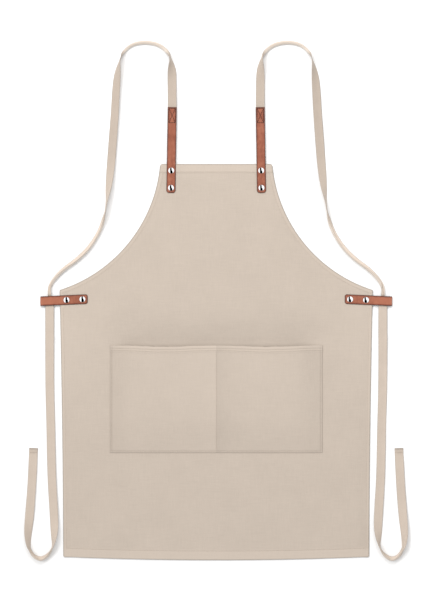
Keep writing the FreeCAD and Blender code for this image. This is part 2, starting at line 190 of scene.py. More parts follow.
# ---- materials ----
class Nodes:
    """A material's node tree with short calls for the nodes used here."""

    def __init__(self, name):
        self.material = bpy.data.materials.new(name)
        self.material.use_nodes = True
        self.tree = self.material.node_tree
        self.shader = self.tree.nodes["Principled BSDF"]
        self.place = self.tree.nodes.new("ShaderNodeTexCoord").outputs["Object"]

    def put(self, value, socket):
        """Links another node's output to a socket, or sets the socket to a plain value."""
        if isinstance(value, bpy.types.NodeSocket):
            self.tree.links.new(value, socket)
        else:
            socket.default_value = value

    def add(self, kind, **inputs):
        """A new node with these inputs. An underscore in a name stands for a space."""
        node = self.tree.nodes.new("ShaderNode" + kind)
        for name, value in inputs.items():
            self.put(value, node.inputs[name.replace("_", " ")])
        return node

    def noise(self, scale, stretch=(1, 1, 1), detail=3.0, rough=0.55):
        place = self.add("Mapping", Vector=self.place, Scale=stretch).outputs["Vector"]
        node = self.add("TexNoise", Vector=place, Scale=scale, Detail=detail, Roughness=rough)
        return node.outputs["Fac"]

    def wave(self, scale, axis, distort=0.0):
        node = self.add("TexWave", Vector=self.place, Scale=scale, Distortion=distort, Detail_Scale=2.0)
        node.bands_direction = axis
        return node.outputs["Fac"]

    def voronoi(self, scale):
        node = self.add("TexVoronoi", Vector=self.place, Scale=scale)
        node.feature = "DISTANCE_TO_EDGE"
        return node.outputs["Distance"]

    def math(self, kind, a, b):
        node = self.add("Math")
        node.operation = kind
        self.put(a, node.inputs[0])
        self.put(b, node.inputs[1])
        return node.outputs[0]

    def total(self, *shares):
        """The sum of outputs, each times its own weight."""
        parts = [self.math("MULTIPLY", value, weight) for value, weight in shares]
        whole = parts[0]
        for part in parts[1:]:
            whole = self.math("ADD", whole, part)
        return whole

    def ramp(self, value, stops):
        node = self.add("ValToRGB", Fac=value)
        elements = node.color_ramp.elements
        while len(elements) < len(stops):
            elements.new(0.5)
        for element, (at, colour) in zip(elements, stops):
            element.position = at
            element.color = colour
        return node.outputs["Color"]

    def mix(self, factor, a, b, kind="MIX"):
        node = self.add("Mix")
        node.data_type = "RGBA"
        node.blend_type = kind
        self.put(factor, node.inputs["Factor"])
        self.put(a, node.inputs[6])
        self.put(b, node.inputs[7])
        return node.outputs[2]

    def attribute(self, name):
        node = self.add("Attribute")
        node.attribute_name = name
        return node.outputs["Fac"]

    def bump(self, height, strength, distance):
        node = self.add("Bump", Height=height, Strength=strength, Distance=distance)
        self.put(node.outputs["Normal"], self.shader.inputs["Normal"])

    def finish(self, colour, **settings):
        self.put(colour, self.shader.inputs["Base Color"])
        for name, value in settings.items():
            self.shader.inputs[name.replace("_", " ").title()].default_value = value
        return self.material


def tinted(colour, factor):
    """A linear colour made brighter or darker."""
    return tuple(c * factor for c in colour[:3]) + (1.0,)


def canvas_material():
    """Plain weave: warp and weft rows under a slubby, slightly uneven colour."""
    light = linear(186, 173, 160)
    dark = linear(168, 156, 144)
    pitch_mm = 0.8
    n = Nodes("canvas")
    scale = 2 * math.pi / (20 * pitch_mm * MM)
    warp = n.wave(scale, "X", distort=0.6)
    weft = n.wave(scale, "Y", distort=0.6)
    cross = n.math("MULTIPLY", warp, weft)
    slub = n.math("ADD", n.noise(900, (0.04, 1, 1)), n.noise(900, (1, 0.04, 1)))
    cloud = n.noise(14, detail=4)
    fleck = n.noise(1500, detail=1)
    tone = n.total((slub, 0.34), (cloud, 0.22), (cross, 0.20), (fleck, 0.16))
    colour = n.ramp(tone, [(0.28, dark), (0.78, light)])
    # The hem attribute lightens: paler doubled cloth over the hems and the pocket's mouth, and painted light
    # at the waist's sides, on the pocket's compartments and beside its divider.
    colour = n.mix(n.attribute("hem"), colour, tinted(light, 1.13))
    # The shade attribute darkens with painted shade along folded edges and seams, round the pocket, beside
    # its divider and in the dip above it.
    colour = n.mix(n.attribute("shade"), colour, tinted(dark, 0.62))
    height = n.math("ADD", n.math("MAXIMUM", warp, weft), n.math("MULTIPLY", slub, 0.5))
    n.bump(height, 0.35, 0.00022)
    return n.finish(colour, roughness=0.92, sheen_weight=0.12, sheen_roughness=0.6)


def tape_material():
    """Cotton twill tape: fine diagonal ribs, with a painted highlight where it curls or is pleated and
    painted shade along its edges.
    """
    n = Nodes("cotton_tape")
    rib = n.wave(420, "DIAGONAL", distort=0.4)
    cross = n.wave(330, "Y", distort=0.5)
    cloud = n.noise(30, detail=3)
    fleck = n.noise(1300, detail=1)
    tone = n.total((rib, 0.3), (cross, 0.2), (cloud, 0.3), (fleck, 0.2))
    colour = n.ramp(tone, [(0.2, linear(176, 162, 149)), (0.8, linear(196, 182, 168))])
    # The pale attribute is a painted highlight where the tape curls on edge and where it is pleated into the
    # loop.
    colour = n.mix(n.attribute("pale"), colour, linear(216, 203, 190))
    # The shade attribute is painted shade along the edges and on the pleats, and darker towards the top of
    # the shoulder lengths.
    colour = n.mix(n.attribute("shade"), colour, linear(122, 110, 99))
    n.bump(n.math("ADD", rib, cross), 0.4, 0.0002)
    return n.finish(colour, roughness=0.9, sheen_weight=0.12, sheen_roughness=0.6)


def thread_material(name, light, dark):
    """Two-ply sewing thread: a fine twist along the stitch."""
    n = Nodes(name)
    twist = n.wave(520, "DIAGONAL")
    colour = n.ramp(twist, [(0.1, dark), (0.9, light)])
    n.bump(twist, 0.5, 0.0001)
    return n.finish(colour, roughness=0.6)


def leather_material():
    """Smooth tan cowhide with a pebbled grain, cloudy dye and dark burnished edges."""
    n = Nodes("tan_leather")
    cloud = n.noise(70, detail=5, rough=0.62)
    streak = n.noise(160, (1, 0.25, 1), detail=3)
    tone = n.total((cloud, 0.6), (streak, 0.4))
    stops = ((0.30, linear(114, 58, 41)), (0.50, linear(141, 80, 59)), (0.72, linear(166, 106, 82)))
    colour = n.ramp(tone, stops)
    pores = n.ramp(n.voronoi(1500), [(0.0, (0.72, 0.72, 0.72, 1)), (0.12, (1, 1, 1, 1))])
    colour = n.mix(0.5, colour, pores, "MULTIPLY")
    colour = n.mix(n.attribute("pale"), colour, linear(168, 104, 78))
    colour = n.mix(n.attribute("edge"), colour, linear(62, 28, 20))
    grain = n.math("ADD", n.voronoi(1100), n.math("MULTIPLY", n.noise(2600, detail=2), 0.35))
    n.bump(grain, 0.5, 0.00035)
    return n.finish(colour, roughness=0.46)


def nickel_material():
    """Nickel plate with faint polishing marks."""
    plate = (0.86, 0.86, 0.87, 1)
    n = Nodes("nickel")
    marks = n.noise(700, (1, 0.1, 1), detail=2)
    shade = n.ramp(n.noise(220, detail=2), [(0.3, plate), (0.7, tinted(plate, 1.08))])
    n.bump(marks, 0.05, 0.00004)
    return n.finish(shade, metallic=1.0, roughness=0.06)


def floor_material():
    n = Nodes("studio_floor")
    shade = n.ramp(n.noise(1.2, detail=2), [(0.3, (0.84, 0.84, 0.84, 1)), (0.7, (0.86, 0.86, 0.86, 1))])
    return n.finish(shade, roughness=0.95)


CANVAS = canvas_material()
TAPE = tape_material()
THREAD = thread_material("cotton_thread", linear(190, 176, 162), linear(156, 143, 130))
BROWN_THREAD = thread_material("brown_thread", linear(48, 22, 16), linear(26, 11, 8))
HIDE = leather_material()
NICKEL = nickel_material()


# ---- camera, floor and lights ----
WORLD_STRENGTH = 0.83
CARD_GLOW = 1.25
CARD_HEIGHT = 8000
FLOOR_HALF = 9000
# The dark card's corners, as steps right and up for each step of height above the apron.
DARK_CARD = ((-0.62, 1.50), (-0.44, 0.46), (-0.34, 0.0), (-0.44, -0.46), (-0.66, -1.50),
             (0.70, -1.50), (0.50, -0.46), (0.30, -0.05), (0.10, 0.14), (0.12, 1.50))
KEY_STRENGTH = 1.1
BOX_POWER = 40


def make_camera():
    """Straight down over the apron. framed is what it sees from top to bottom."""
    height = 4.0
    framed = 1.32
    data = bpy.data.cameras.new("camera")
    data.lens = data.sensor_width * height / framed
    data.clip_end = 50
    camera = add_object("camera", data)
    camera.location = (-0.006, 0.0737, height)
    bpy.context.scene.camera = camera


def add_light(name, kind, energy, place, aim):
    """A light that reflections leave out."""
    data = bpy.data.lights.new(name, kind)
    data.energy = energy
    light = add_object(name, data)
    light.location = place
    light.rotation_euler = (Vector(aim) - Vector(place)).to_track_quat("-Z", "Y").to_euler()
    light.visible_glossy = False
    return data


def studio_world():
    """Even studio light from every side."""
    world = bpy.data.worlds.new("studio")
    world.use_nodes = True
    background = world.node_tree.nodes["Background"].inputs
    background["Color"].default_value = (1, 1, 1, 1)
    background["Strength"].default_value = WORLD_STRENGTH
    bpy.context.scene.world = world


def studio_card(name, slopes, height, glow):
    """A card overhead that only reflections show, for polished metal to mirror."""
    material = bpy.data.materials.new(name)
    material.use_nodes = True
    shader = material.node_tree.nodes["Principled BSDF"].inputs
    shader["Base Color"].default_value = (0, 0, 0, 1)
    shader["Specular IOR Level"].default_value = 0
    shader["Emission Color"].default_value = (1, 1, 1, 1)
    shader["Emission Strength"].default_value = glow
    material.cycles.emission_sampling = "NONE"
    points = [(x * height, y * height, height) for x, y in slopes]
    card = mesh_object(name, points, [tuple(range(len(points)))], material)
    for kind in ("camera", "diffuse", "transmission", "volume_scatter", "shadow"):
        setattr(card, "visible_" + kind, False)


def square(half):
    return (-half, -half), (half, -half), (half, half), (-half, half)


def make_studio():
    corners = [(x, y, 0) for x, y in square(FLOOR_HALF)]
    floor = mesh_object("floor", corners, [(0, 1, 2, 3)], floor_material())
    studio_world()
    key = add_light("key", "SUN", KEY_STRENGTH, (0, 0, 0), (0.60, -0.42, -1.0))
    key.angle = math.radians(20)
    box = add_light("top_box", "AREA", BOX_POWER, (-0.15, 1.9, 2.2), (0, 0.1, 0))
    box.shape = "RECTANGLE"
    box.size = 2.0
    box.size_y = 1.0
    studio_card("white_card", square(1.7), CARD_HEIGHT + 200, CARD_GLOW)
    studio_card("dark_card", DARK_CARD, CARD_HEIGHT, 0.0)
    view = bpy.context.scene.view_settings
    view.view_transform = "Standard"
    view.look = "None"


make_camera()
make_studio()


# ---- strap tape ----
def spline_points(points, steps):
    """Points along a NURBS spline that has these control points."""
    curve = bpy.data.curves.new("route", "CURVE")
    curve.dimensions = "3D"
    spline = curve.splines.new("NURBS")
    spline.points.add(len(points) - 1)
    for control, (x, y, z) in zip(spline.points, points):
        control.co = (x, y, z, 1)
    spline.order_u = 3
    spline.use_endpoint_u = True
    spline.resolution_u = steps
    carrier = bpy.data.objects.new("route", curve)
    mesh = bpy.data.meshes.new_from_object(carrier)
    found = [tuple(v.co) for v in mesh.vertices]
    bpy.data.meshes.remove(mesh)
    bpy.data.objects.remove(carrier)
    bpy.data.curves.remove(curve)
    return found


def tape_stations(route, side):
    """Centre, across and upward directions along a tape, from its route's splines."""
    tips = spline_points([(x, y, tip) for x, y, tip, lift in route], ROUTE_STEPS)
    lifts = spline_points([(x, y, lift) for x, y, tip, lift in route], ROUTE_STEPS)
    stations = []
    for i, (x, y, tip_deg) in enumerate(tips):
        before = tips[max(i - 1, 0)]
        after = tips[min(i + 1, len(tips) - 1)]
        heading = Vector((after[0] - before[0], after[1] - before[1], 0)).normalized()
        tip = math.radians(tip_deg)
        left = Vector((-heading.y, heading.x, 0))
        across = left * math.cos(tip) + Vector((0, 0, math.sin(tip)))
        up = -left * math.sin(tip) + Vector((0, 0, math.cos(tip)))
        narrow = 1 - cupped(x, y) - pleated(x, y)
        rest = TAPE_WIDTH / 2 * narrow * math.sin(tip) + TAPE_THICK / 2 * math.cos(tip)
        centre = Vector((x, y, rest + TAPE_LIFT * math.sin(tip) + lifts[i][2]))
        mirror = Vector((side, 1, 1))
        stations.append((centre * mirror, across * mirror, up * mirror, tip))
    return stations


def tape_profile():
    """Half the tape's outline as (across, up): a flat woven face with rounded, slightly thicker selvedges."""
    half = TAPE_WIDTH / 2
    thick = TAPE_THICK / 2
    top = []
    for k in range(17):
        a = -1 + k / 8
        edge = bell(abs(a) - 0.93, 0.05)
        fall = 1 - smooth(0.955, 1.0, abs(a)) * 0.65
        top.append((a * half, thick * (0.80 + 0.20 * edge) * fall))
    return top + [(a, -u) for a, u in reversed(top)]


def arc_lengths(stations):
    lengths = [0.0]
    for a, b in zip(stations, stations[1:]):
        lengths.append(lengths[-1] + (b[0] - a[0]).length)
    return lengths


def pleated(x, y):
    """How far the tape is bunched into pleats where it enters the side loop: 0 where it is flat."""
    return 0.60 * smooth(57, 80, y) * (1 - smooth(98, 124, y)) if abs(x) > 330 else 0.0


def cupped(x, y):
    """How far the tape curls lengthwise into a trough, as it does in its bends."""
    shoulder = 0.60 * smooth(606, 628, y)
    armhole = 0.44 * smooth(96, 120, y) * (1 - smooth(225, 268, y)) if abs(x) > 230 else 0.0
    tie = 0.30 * (1 - smooth(-496, -470, y))
    return shoulder + armhole + tie


def threaded(x, y):
    """1 along the stretch that passes through the side loop as the tie slides, where the tape is flat."""
    return smooth(-12, 6, y) * (1 - smooth(100, 125, y)) if abs(x) > 330 else 0.0


def tape_ribbon(name, stations, thicken=None):
    """The tape as a closed mesh that follows its stations, with soft hand waves along its edges."""
    outline = tape_profile()
    lengths = arc_lengths(stations)
    points = []
    shades = []
    painted_highlights = []
    for (centre, across, up, tip), run in zip(stations, lengths):
        scale = thicken(run, lengths[-1]) if thicken else 1.0
        flat = math.cos(tip)
        bunched = pleated(centre.x, centre.y)
        curl = cupped(centre.x, centre.y)
        held = threaded(centre.x, centre.y)
        curl_depth = TAPE_WIDTH * math.sqrt(3 * curl * (1 - curl) / 8)
        # Darker towards the top of the shoulder lengths.
        shoulder_darkening = 0.24 * smooth(280, 420, centre.y) * (1 - smooth(0.0, 0.5, curl))
        ease = smooth(6, 40, run) * smooth(6, 40, lengths[-1] - run)
        for a, u in outline:
            share = a / (TAPE_WIDTH / 2)
            ripple = ease * (0.35 * flat * (1 + math.sin(run / 21.0 + share * 1.3)) * share * share)
            bow = 0.6 * (1 - flat) * ease * (1 - share * share) * math.sin(run / 34.0)
            # Painted shade along the tape's edges.
            painted_edge_shade = 0.42 * (1 - curl) * smooth(0.90, 0.99, abs(share))
            # Painted shade towards the edges where the tape is pleated.
            shades.append(shoulder_darkening + painted_edge_shade + 0.20 * bunched * abs(share))
            # Painted highlight where the tape curls, and where it is pleated at the loop's mouth.
            painted_highlights.append(min(1.0, 2.0 * curl + 1.6 * bunched * smooth(82, 88, centre.y)))
            pleat = 2.6 * bunched * math.cos(share * 2.5 * math.pi) * (1 - 0.3 * share)
            trough = curl_depth * (share * share - 0.33)
            right = max(0.0, share * across.x) ** 2
            lifted = 2.3 * right * ease * flat * (0.65 + 0.35 * math.sin(run / 52.0)) * (1 - held)
            rise = u * scale + (scale - 1) * TAPE_THICK / 2 + ripple + bow + pleat + trough + lifted
            points.append(tuple(centre + across * a * (1 - bunched - curl) + up * rise))
    columns = len(outline)
    rows = len(stations)
    faces = grid_faces(rows, columns, closed=True)
    half = columns // 2
    for start in (0, (rows - 1) * columns):
        for k in range(half - 1):
            low = columns - 1 - k
            quad = (start + k, start + k + 1, start + low - 1, start + low)
            faces.append(quad if start == 0 else tuple(reversed(quad)))
    obj = mesh_object(name, points, faces, TAPE)
    set_attribute(obj, "shade", shades)
    set_attribute(obj, "pale", painted_highlights)
    flip_if_inward(obj)
    return obj


def flip_if_inward(obj):
    """Turns a closed mesh's faces outward."""
    mesh = obj.data
    mesh.calc_loop_triangles()
    volume = 0.0
    for t in mesh.loop_triangles:
        a, b, c = (mesh.vertices[i].co for i in t.vertices)
        volume += a.dot(b.cross(c))
    if volume < 0:
        mesh.flip_normals()


def hem_thickness(run, total):
    """The tie's free end is turned back on itself, so its last stretch is thicker."""
    return 1.0 + 0.75 * smooth(total - TIE_END_STITCH - 3, total - TIE_END_STITCH - 1.5, run)


def stitch(points, faces, start, end, radius):
    """One stitch: a short thread that rises from the cloth, lies over it and dips back in."""
    up = Vector((0, 0, 1))
    along = end - start
    side = along.cross(up).normalized()
    first = len(points)
    rings = 5
    around = 6
    for r in range(rings):
        t = r / (rings - 1)
        arch = math.sin(math.pi * t) ** 0.6
        middle = start + along * t + up * (radius * arch - STITCH_SINK * (1 - arch))
        width = radius * (0.72 + 0.28 * arch)
        for k in range(around):
            angle = 2 * math.pi * k / around
            points.append(tuple(middle + side * width * math.cos(angle) + up * width * math.sin(angle)))
    faces += grid_faces(rings, around, first, closed=True)
    faces.append(tuple(first + k for k in reversed(range(around))))
    faces.append(tuple(len(points) - around + k for k in range(around)))


def row_of_stitches(points, faces, line, height, length, radius):
    """Stitches along a line of plan points, on the surface height(x, y)."""
    run = [0.0]
    for a, b in zip(line, line[1:]):
        run.append(run[-1] + math.dist(a, b))
    count = max(1, round(run[-1] / (length + STITCH_GAP)))
    step = run[-1] / count
    k = 0
    for s in range(count):
        ends = []
        for at in (s * step + STITCH_GAP / 2, (s + 1) * step - STITCH_GAP / 2):
            while k < len(run) - 2 and run[k + 1] < at:
                k += 1
            t = (at - run[k]) / max(1e-6, run[k + 1] - run[k])
            x = line[k][0] + (line[k + 1][0] - line[k][0]) * t
            y = line[k][1] + (line[k + 1][1] - line[k][1]) * t
            ends.append(Vector((x, y, height(x, y))))
        stitch(points, faces, *ends, radius)


def stitched(name, lines, height, body, nodes, material=THREAD, radius=THREAD_R,
             length=STITCH_LENGTH):
    points = []
    faces = []
    for line in lines:
        row_of_stitches(points, faces, line, height, length, radius)
    obj = mesh_object(name, points, faces, material)
    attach(obj, body)
    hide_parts(*nodes)
    return obj


def make_straps(side_name, side):
    """One side's tape: the shoulder length, fixed at the tab, and the tie, which slides in the side loop."""
    body = side_name + "_waist_tie"
    upper = tape_stations(SHOULDER_ROUTE, side)
    strap = tape_ribbon(side_name + "_shoulder_strap_tape", upper)
    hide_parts(side_name + "_shoulder_strap")
    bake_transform(strap)

    lower = tape_stations(TIE_ROUTE, side)
    tie = tape_ribbon(side_name + "_tie_tape", lower, hem_thickness)
    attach(tie, body)
    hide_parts(side_name + "_tie")
    end = TIE_ROUTE[-1]
    half = TAPE_WIDTH / 2 - 1.2
    y = end[1] - TIE_END_STITCH
    rows = [[(side * (end[0] - half), y + k), (side * (end[0] + half), y + k)] for k in (0, 1.6)]
    seam = stitched(side_name + "_tie_end_thread", rows, lambda x, y: TIE_HEM_TOP, body,
                    [side_name + "_tie_end_stitching"])


make_straps("left", 1)
make_straps("right", -1)


# ---- panel ----
def circle_through(a, b, c):
    """Centre and radius of the circle through three plan points."""
    (ax, ay), (bx, by), (cx, cy) = a, b, c
    aa, bb, cc = ax**2 + ay**2, bx**2 + by**2, cx**2 + cy**2
    d = 2 * (ax * (by - cy) + bx * (cy - ay) + cx * (ay - by))
    ux = (aa * (by - cy) + bb * (cy - ay) + cc * (ay - by)) / d
    uy = (aa * (cx - bx) + bb * (ax - cx) + cc * (bx - ax)) / d
    return (ux, uy), math.dist((ux, uy), a)


BIB_CORNER = (BIB_HALF, BIB_TOP_Y - BIB_CORNER_R)
ARMHOLE_CENTRE, ARMHOLE_R = circle_through(BIB_CORNER, ARMHOLE_MID, WAIST_CORNER)
SIDE_CENTRE, SIDE_R = circle_through(WAIST_CORNER, SIDE_MID, HEM_CORNER)


def half_width(y):
    """The panel's half width at a height: the armhole's curve above the waist, the side's below."""
    if y >= WAIST_CORNER[1]:
        centre, radius = ARMHOLE_CENTRE, ARMHOLE_R
    else:
        centre, radius = SIDE_CENTRE, SIDE_R
    return centre[0] - math.sqrt(max(0.0, radius**2 - (y - centre[1]) ** 2))


def hem_line(x):
    """Height of the panel's bowed bottom edge."""
    return HEM_MID_Y + (HEM_CORNER[1] - HEM_MID_Y) * (x / HEM_CORNER[0]) ** 2


def edge_distances(x, y):
    """Distances inward from the panel's armhole, side, top and bottom."""
    at = (abs(x), y)
    armhole = math.dist(at, ARMHOLE_CENTRE) - ARMHOLE_R
    side = math.dist(at, SIDE_CENTRE) - SIDE_R
    return armhole, side, BIB_TOP_Y - y, y - hem_line(x)


def tab_axis(distance, across=0.0):
    dx = TAB_END[0] - TAB_TOP[0]
    dy = TAB_END[1] - TAB_TOP[1]
    length = math.hypot(dx, dy)
    dx, dy = dx / length, dy / length
    return TAB_TOP[0] + dx * distance - dy * across, TAB_TOP[1] + dy * distance + dx * across


def loop_point(x):
    """The place on the left side loop's middle line at this distance outward."""
    reach = (LOOP_FOLD_X + LOOP_INNER_X) / 2 - x
    return -x, LOOP_MID_Y + reach * math.tan(LOOP_TILT)


def under_leather(x, y):
    """1 where a tab or a loop lies on the panel, falling to 0 a little way off."""
    ax = -abs(x)
    tab = max(abs(ax + 98.0) - 12, TAB_END[1] - 2 - y)
    loop = max(abs(y - LOOP_MID_Y) - 13, ax + LOOP_INNER_X - 2)
    return 1 - smooth(0, 26, max(0.0, min(tab, loop)))


def under_pocket(x, y):
    away = max(abs(x) - POCKET_HALF, y - POCKET_TOP_Y, POCKET_LOW_Y - y)
    return 1 - smooth(0, 22, max(0.0, away))


def seam_pucker(distance, along, seed):
    """Small gathers beside a seam, and the dent that its thread pulls."""
    gather = 0.16 * bell(distance, 7.0) * fbm(along, 0.0, 7.0, seed)
    return gather - 0.34 * bell(distance, 1.3)


def panel_height(x, y):
    """The panel's upper surface: resting hems, soft hand waves and stitched seams."""
    armhole, side, top, bottom = edge_distances(x, y)
    nearest = min(armhole if y > 80 else 1e3, side, top, bottom)
    held = max(under_leather(x, y), under_pocket(x, y))
    height = PANEL_TOP - 1.15 * (1 - smooth(0, 26, nearest)) * (1 - held)
    broad = 1.25 * fbm(x, y, 230, 3.1) + 0.55 * fbm(x, y, 74, 7.7)
    height += broad * (1 - held) * smooth(0, 60, nearest + 15)
    above = y - POCKET_TOP_Y
    height -= 3.0 * bell(above, 50) * smooth(-4, 12, above) * (1 - smooth(150, 236, abs(x)))
    height += 2.6 * bell(y - 45, 55) * smooth(-26, 30, y) * (1 - smooth(170, 300, abs(x)))
    for distance, inset, wide, along, seed, on in (
        (top, BIB_STITCH, BIB_HEM, x, 1.0, True),
        (bottom, BOTTOM_STITCH, BOTTOM_HEM, x, 2.0, True),
        (side, SIDE_STITCH, SIDE_HEM, y, 3.0, y < WAIST_CORNER[1]),
        (armhole, ARMHOLE_STITCH, SIDE_HEM + 1, y, 4.0, y > WAIST_CORNER[1] - 8),
    ):
        if on:
            step = 0.5 if wide > 12 else 0.22
            height += step * (1 - smooth(wide - 0.6, wide + 0.8, distance))
            pucker = seam_pucker(distance - inset, along, seed) * (step + 0.4)
            height += pucker * (1 - 0.8 * under_leather(x, y))
    return height


def hem_paleness_and_painted_light(x, y):
    """How much paler the cloth is: over its hems, where it is doubled, and painted light a little at the
    sides of the waist.
    """
    armhole, side, top, bottom = edge_distances(x, y)
    outer = side if y < WAIST_CORNER[1] else armhole
    bands = ((top, BIB_HEM, 0.7), (bottom, BOTTOM_HEM, 1.0), (outer, SIDE_HEM, 0.6))
    hem = max(most * (1 - smooth(width - 1, width + 1, distance)) for distance, width, most in bands)
    # Painted light at the waist's sides, plus the paler doubled hems.
    return 0.20 * smooth(200, 330, abs(x)) * bell(y - 20, 130) + 0.34 * hem


def painted_panel_shade(x, y):
    """Painted shade where the cloth is darker: along its folded edges, beside its seams and in the dip above
    the pocket.
    """
    armhole, side, top, bottom = edge_distances(x, y)
    outer = side if y < WAIST_CORNER[1] else armhole
    # Painted shadow lines along the folded edges, and painted shade beside the hem seams.
    shade = 0.62 * (1 - smooth(0.2, 1.7, min(outer, top, bottom)))
    for distance, inset in ((top, BIB_STITCH), (bottom, BOTTOM_STITCH)):
        shade += 0.09 * bell(distance - inset - 1.0, 1.6)
    # Painted shadow in the dip above the pocket's mouth.
    above = y - POCKET_TOP_Y
    if above > -3:
        across = 1 - smooth(POCKET_HALF - 50, POCKET_HALF + 5, abs(x))
        shade += across * (0.14 * math.exp(-above / 26) + 0.16 * math.exp(-above / 5))
    return min(1.0, shade)


def panel_rows():
    """Row heights at the panel's side and at its middle, close together over the hems."""
    top = [0, 0.5, 1.2, 2.2, 3.6, 5, 7, 9, 11.5, 14, 15.4, 16.2, 17, 17.8, 18.6, 19.6, 22, 26]
    bottom = [0, 0.5, 1.2, 2.2, 3.6, 6, 9, 12.5, 16, 17.7, 18.5, 19.3, 20.1, 20.9, 22, 25, 29]
    rows = [(BIB_TOP_Y - d, BIB_TOP_Y - d) for d in top]
    count = 196
    start = rows[-1][0]
    end_side = HEM_CORNER[1] + bottom[-1]
    end_mid = HEM_MID_Y + bottom[-1]
    waist = round(count * 0.40)
    for k in range(1, count):
        if k <= waist:
            y = start + (WAIST_CORNER[1] - start) * (k / waist) ** 0.86
        else:
            y = WAIST_CORNER[1] + (end_side - WAIST_CORNER[1]) * (k - waist) / (count - waist)
        rows.append((y, start + (end_mid - start) * k / count))
    rows += [(HEM_CORNER[1] + d, HEM_MID_Y + d) for d in reversed(bottom)]
    return rows


EDGE_STEPS = (0, 0.5, 1.2, 2.2, 3.4, 4.6, 5.6, 6.3, 7.0, 7.8, 8.6, 9.6, 12, 16)
INNER_COLUMNS = 74


def edge_normal(centre, at, above):
    """The direction into the cloth, square to the edge's curve about a centre, for the left half."""
    across, along = at[0] - centre[0], at[1] - centre[1]
    size = math.hypot(across, along)
    return Vector((abs(across) / size, (-abs(along) if above else along) / size))


def inward(y):
    """The direction that keeps an edge step parallel to the panel's side, for the left half."""
    at = (half_width(y), y)
    above = y >= WAIST_CORNER[1]
    n = edge_normal(ARMHOLE_CENTRE if above else SIDE_CENTRE, at, above)
    a = edge_normal(ARMHOLE_CENTRE, WAIST_CORNER, True)
    b = edge_normal(SIDE_CENTRE, WAIST_CORNER, False)
    corner = (a + b).normalized()
    corner = corner / corner.dot(a)
    closeness = 1 - smooth(0, 26 if above else 30, math.dist(at, WAIST_CORNER))
    level = Vector((1 / n.x, 0))
    flatness = smooth(240, 330, y)
    plain = n * (1 - flatness) + level * flatness
    return plain * (1 - closeness) + corner * closeness


def rounded(x, y):
    """Moves a point near a square corner of the panel onto its rounded one."""
    for corner_x, corner_y, radius, down in (
        (half_width(BIB_TOP_Y - BIB_CORNER_R), BIB_TOP_Y, BIB_CORNER_R, 1),
        (HEM_CORNER[0], HEM_CORNER[1], HEM_CORNER_R, -1),
    ):
        a = (abs(x) - corner_x + radius) / radius
        b = down * (y - corner_y) / radius + 1
        if 0 < a <= 1.001 and 0 < b <= 1.001:
            nx = a * math.sqrt(1 - b * b / 2)
            ny = b * math.sqrt(1 - a * a / 2)
            return math.copysign(corner_x - radius + nx * radius, x), corner_y + down * (ny - 1) * radius
    return x, y


def panel_row(y_side, y_mid):
    """One row of plan points from the left edge to the right."""
    step = inward(y_side)
    edge_x = -half_width(y_side)
    left = [(edge_x + step.x * d, y_side + step.y * d) for d in EDGE_STEPS]
    inner_x, inner_y = left[-1]
    for k in range(1, INNER_COLUMNS + 1):
        t = 1 - k / INNER_COLUMNS
        left.append((inner_x * t, y_mid + (inner_y - y_mid) * t * t))
    return left + [(-x, y) for x, y in reversed(left[:-1])]


def make_panel():
    """The canvas: front face, rolled hem edges and the hems turned to the back."""
    rows = [[rounded(x, y) for x, y in panel_row(*heights)] for heights in panel_rows()]
    columns = len(rows[0])
    count = len(rows)
    points = [(x, y, panel_height(x, y)) for row in rows for x, y in row]

    def outward(r, c):
        """The way out over the edge, from a grid point three steps in."""
        x, y, z = points[r * columns + c]
        ix, iy, iz = points[min(max(r, 3), count - 4) * columns + min(max(c, 3), columns - 4)]
        size = math.hypot(x - ix, y - iy)
        return (x - ix) / size, (y - iy) / size

    roll = ((0.55, 0.75), (0.75, 1.6), (0.45, 2.45), (-0.3, 2.8))
    depth = len(EDGE_STEPS) - 3
    faces = sheet_faces(points, (count, columns), roll, outward, (depth, depth, depth), (2.9, CLOTH))
    obj = mesh_object("apron_panel_cloth", points, faces, CANVAS)
    obj.data.flip_normals()
    # hem: paler doubled hems plus painted light; shade: painted shade.
    set_attribute(obj, "hem", [hem_paleness_and_painted_light(x, y) for x, y, z in points])
    set_attribute(obj, "shade", [painted_panel_shade(x, y) for x, y, z in points])
    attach(obj, "apron")
    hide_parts("apron_panel")


def bridge(outer, inner):
    """Faces between two rings, three-sided where a ring stays on one point."""
    count = len(outer)
    faces = []
    for k in range(count):
        after = (k + 1) % count
        face = tuple(dict.fromkeys((outer[k], inner[k], inner[after], outer[after])))
        if len(face) > 2:
            faces.append(face)
    return faces


def sheet_faces(points, size, roll, outward, margins, drops):
    """A closed sheet's faces: its front, its edge rolled down, the turned hem and the cloth's back.

    roll is each ring's step outward and its drop. margins are the hems' widths in rows and columns."""
    count, columns = size
    low, high, side = margins
    last_r = count - 1 - high
    last_c = columns - 1 - side
    faces = grid_faces(count, columns)
    loop = border(count, columns)
    ring = [r * columns + c for r, c in loop]
    for out, drop in roll:
        lower = []
        for r, c in loop:
            x, y, z = points[r * columns + c]
            dx, dy = outward(r, c)
            lower.append(len(points))
            points.append((x + dx * out, y + dy * out, max(FLOOR_GAP, z - drop)))
        faces += bridge(ring, lower)
        ring = lower
    for drop in dict.fromkeys(drops):
        index = {}
        for r in range(low, last_r + 1):
            for c in range(side, last_c + 1):
                if drop == drops[-1] or r in (low, last_r) or c in (side, last_c):
                    x, y, z = points[r * columns + c]
                    index[r, c] = len(points)
                    points.append((x, y, max(FLOOR_GAP, z - drop)))
        inner = [index[min(max(r, low), last_r), min(max(c, side), last_c)] for r, c in loop]
        faces += bridge(ring, inner)
        ring = inner
    back = grid_faces(last_r - low + 1, last_c - side + 1, index[low, side])
    return faces + [tuple(reversed(face)) for face in back]


